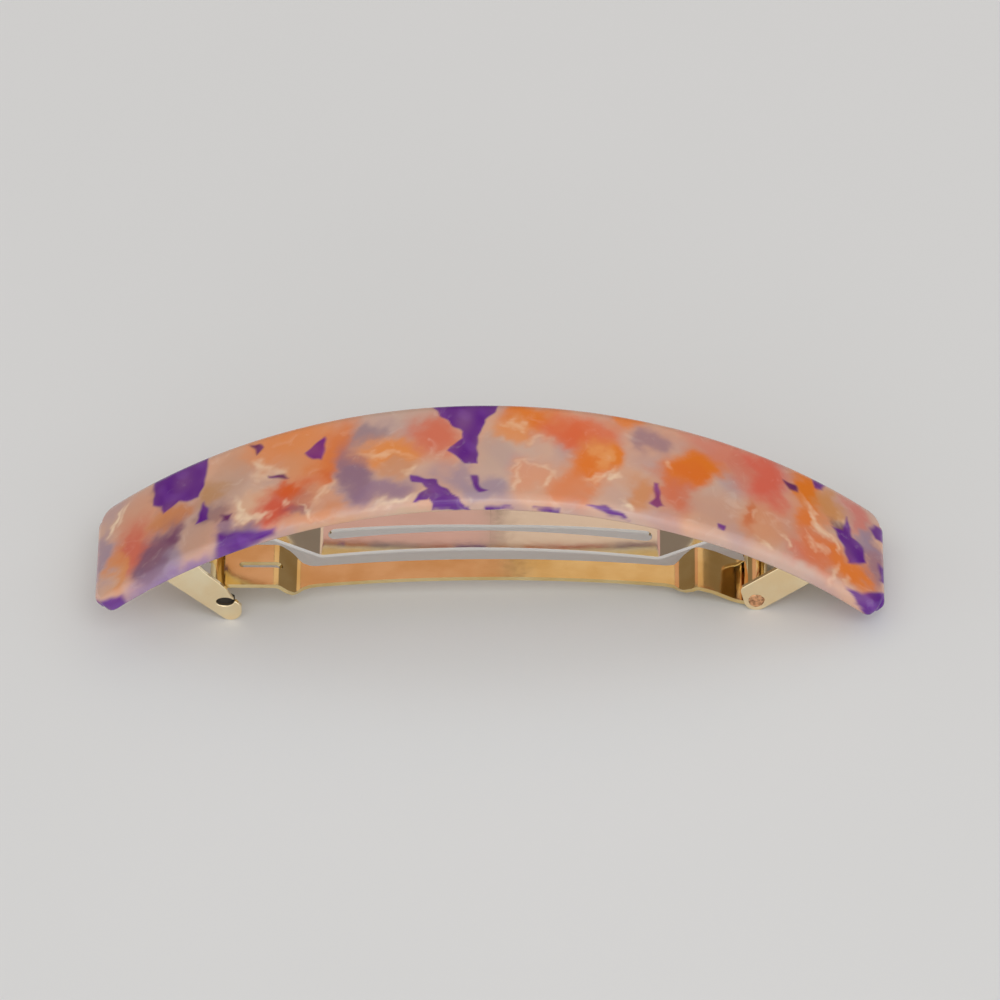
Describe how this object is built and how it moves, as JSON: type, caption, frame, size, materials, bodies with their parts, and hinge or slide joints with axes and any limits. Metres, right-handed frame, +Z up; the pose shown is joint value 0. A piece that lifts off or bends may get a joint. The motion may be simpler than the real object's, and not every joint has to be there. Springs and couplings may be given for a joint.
{
  "type": "hair barrette",
  "caption": "Arched hair barrette: a marbled acetate plate glued to a gold French clip with a hinged locking arm, a spring tension bar and flexing latch legs.",
  "frame": {"origin": "middle of the bounding box at the level of the latch tips, which is the plane that they stand on", "axes": "+X from the latch end to the hinge end, +Z up through the crown of the plate, +Y across the width"},
  "size_m": [0.089, 0.0164, 0.0224],
  "materials": {
    "marbled_acetate": "polished, marbled pink, orange, coral and purple",
    "adhesive": "cured glue line",
    "gold_plated_steel": "bright pale gold plating",
    "pin_brass": "peened, darker gold",
    "spring_steel": "bright nickel plating"
  },
  "bodies": {
    "base": {"base_plate": "gold_plated_steel", "acetate_plate": "marbled_acetate", "adhesive_pads": "adhesive", "hinge_pin": "pin_brass", "tension_bar_ends": "spring_steel"},
    "arm": {"locking_arm": "gold_plated_steel"},
    "tension_bar": {"tension_bar": "spring_steel"},
    "leg_front": {"latch_leg_front": "gold_plated_steel"},
    "leg_rear": {"latch_leg_rear": "gold_plated_steel"}
  },
  "joints": [
    {"name": "arm_hinge", "type": "hinge", "parent": "base", "child": "arm", "pos_m": [0.0301, 0, 0.00344], "axis": [0, -1, 0], "range_deg": [0, 100]},
    {"name": "tension_bar_press", "type": "slide", "parent": "base", "child": "tension_bar", "axis": [0, 0, 1], "range_m": [0, 0.0025], "stiffness_N_per_m": 400},
    {"name": "leg_front_flex", "type": "hinge", "parent": "base", "child": "leg_front", "pos_m": [-0.0349, -0.00375, 0.00693], "axis": [-0.828, 0, -0.5607], "range_deg": [0, 5], "stiffness_Nm_per_rad": 0.05},
    {"name": "leg_rear_flex", "type": "hinge", "parent": "base", "child": "leg_rear", "pos_m": [-0.0349, 0.00375, 0.00693], "axis": [0.828, 0, 0.5607], "range_deg": [0, 5], "stiffness_Nm_per_rad": 0.05}
  ]
}
